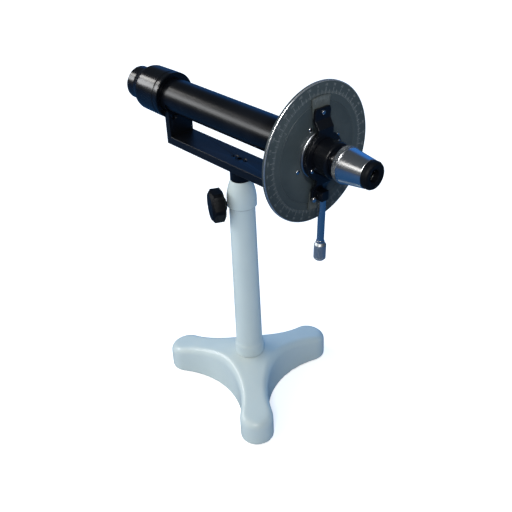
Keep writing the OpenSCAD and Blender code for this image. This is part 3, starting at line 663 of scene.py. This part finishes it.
def number(text, size, seat, work):
    """Adds plain raised figures, drawn flat at the origin and then seated."""
    curve = bpy.data.curves.new("figure", "FONT")
    curve.body = text
    curve.size = size
    curve.align_x = "CENTER"
    curve.align_y = "CENTER"
    curve.extrude = NUMBER_T
    curve.resolution_u = 3
    figure = bpy.data.objects.new("figure", curve)
    scene.collection.objects.link(figure)
    bpy.context.view_layer.update()
    evaluated = figure.evaluated_get(bpy.context.evaluated_depsgraph_get())
    flat = bpy.data.meshes.new_from_object(evaluated)
    flat.transform(seat)
    work.from_mesh(flat)
    bpy.data.objects.remove(figure)
    bpy.data.curves.remove(curve)
    bpy.data.meshes.remove(flat)


FACING_X = Matrix(((0, 0, 1, 0), (1, 0, 0, 0), (0, 1, 0, 0), (0, 0, 0, 1)))
work = bmesh.new()
for degree in range(0, 360, 10):
    seat = on_face(DISC_FACE, math.radians(-degree), NUMBER_R) @ FACING_X
    number(str(degree % 180), NUMBER_SIZE, seat, work)
fit(new_object("degree_numbers", work, filled_line.material), "head", "white_marked_metal")


# Rings and screws on the hub
# A bright aluminium ring round the bearing, the serrated black ring that turns on it,
# a thin plated ring under the arms, and plated round-headed screws.
bare_metal = ground_steel("turned_aluminium", (0.48, 0.50, 0.53), "X", 0.24)
ring = eased("hub_ring_turned", 0.25 * MM, bare_metal, "hub_ring", turned=OPTICAL)
fit(ring, "head", "white_marked_metal", "hub_ring")
spacer = eased("spacer_ring_painted", 0.12 * MM, black_paint, "spacer_ring", segments=1)
fit(spacer, "analyser", "black_paint", "spacer_ring")
chrome = Finish("bright_plating", Metallic=1.0)
smudges = chrome.fade(chrome.noise(70, 5), 0.5, 0.8)
hairlines = chrome.noise(3000, 2, (0.05, 1, 1))
chrome.cover(
    Base_Color=chrome.blend(smudges, (0.72, 0.73, 0.75), (0.62, 0.63, 0.65)),
    Roughness=0.23 + smudges * 0.08 + hairlines * 0.03,
    Normal=chrome.relief(hairlines, 0.0015 * MM),
)
bright = eased(
    "bright_ring_plated", 0.15 * MM, chrome.material, "bright_ring", segments=1, turned=OPTICAL
)
fit(bright, "analyser", "bright_chrome", "bright_ring")
HUB_SCREWS = {"disc_screws": "head", "vernier_screws": "analyser", "carrier_screws": "analyser"}
for name, body in HUB_SCREWS.items():
    made = eased(name + "_plated", 0.1 * MM, chrome.material, name, angle=40)
    fit(made, body, "bright_chrome", name)


# Vernier arms and plates
# One black painted arm across the hub, stepped down at both ends, with a satin plate
# under each end whose ten divisions meet the degree scale.
arm = eased("vernier_arm_painted", 0.4 * MM, black_paint, "vernier_arm")
fit(arm, "analyser", "dark_satin_paint", "vernier_arm")
satin_plate = Finish("dark_satin_plate", IOR=1.4)
plate_wear = satin_plate.fade(satin_plate.noise(160, 4), 0.45, 0.75)
satin_plate.cover(
    Base_Color=satin_plate.blend(plate_wear, (0.050, 0.058, 0.056), (0.066, 0.075, 0.072)),
    Roughness=0.42 + plate_wear * 0.1,
    Normal=satin_plate.relief(satin_plate.noise(1600, 2), 0.006 * MM),
)
plates = eased(
    "vernier_plates_satin", 0.12 * MM, satin_plate.material, "vernier_plates", segments=1
)
fit(plates, "analyser", "dark_satin_paint", "vernier_plates")
ARM_TILT = 3
VERNIER_STEP = 1.9
LONG_MARK, SHORT_MARK = 6 * MM, 4 * MM
MARK_W, MARK_T = 0.3 * MM, 0.2 * MM
mark_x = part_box("vernier_plates")[1].x - 0.08 * MM
work = bmesh.new()
for side_turn in (0, 180):
    for mark in range(-5, 6):
        angle = math.radians(side_turn - ARM_TILT + mark * VERNIER_STEP)
        length = SHORT_MARK if mark % 5 else LONG_MARK
        face_line(work, SCALE_R - length, length, MARK_W, angle, mark_x, MARK_T)
fit(new_object("vernier_lines", work, filled_line.material), "analyser", "white_marked_metal")


# Analyser drum and handle
# The drum holds the telescope on the arms. The handle is a plated rod screwed
# into a block on the lower arm, with a plated collar and a ribbed steel grip.
drum = eased("analyser_drum_painted", 0.35 * MM, black_paint, "analyser_drum", turned=OPTICAL)
fit(drum, "analyser", "black_paint", "analyser_drum")
block = eased("handle_block_painted", 0.5 * MM, black_paint, "handle_block")
fit(block, "analyser", "black_paint", "handle_block")
for name in ("handle_rod", "handle_collar"):
    fit(eased(name + "_plated", 0.2 * MM, chrome.material, name), "analyser", "bright_chrome", name)
grip_steel = ground_steel("grip_steel", (0.74, 0.78, 0.80), "Z", 0.42)
grip = eased("handle_grip_steel", 0.12 * MM, grip_steel, "handle_grip", segments=1)
fit(grip, "analyser", "steel", "handle_grip")


# Telescope
# A plated tube fixed in the drum. The plated eyepiece sleeve slides on it, with a
# serrated ring to hold it by and a black moulded cup round the eye lens.
tube = eased("telescope_tube_plated", 0.2 * MM, chrome.material, "telescope_tube", turned=OPTICAL)
fit(tube, "analyser", "bright_chrome", "telescope_tube")
sleeve = eased(
    "eyepiece_sleeve_plated", 0.3 * MM, chrome.material, "eyepiece_sleeve", turned=OPTICAL
)
fit(sleeve, "eyepiece", "bright_chrome", "eyepiece_sleeve")
focus = eased("focus_ring_plated", 0.12 * MM, chrome.material, "focus_ring", segments=1)
fit(focus, "eyepiece", "bright_chrome", "focus_ring")
cup = eased("eyecup_moulded", 0.3 * MM, knob_plastic.material, "eyecup", turned=OPTICAL)
fit(cup, "eyepiece", "black_plastic", "eyecup")
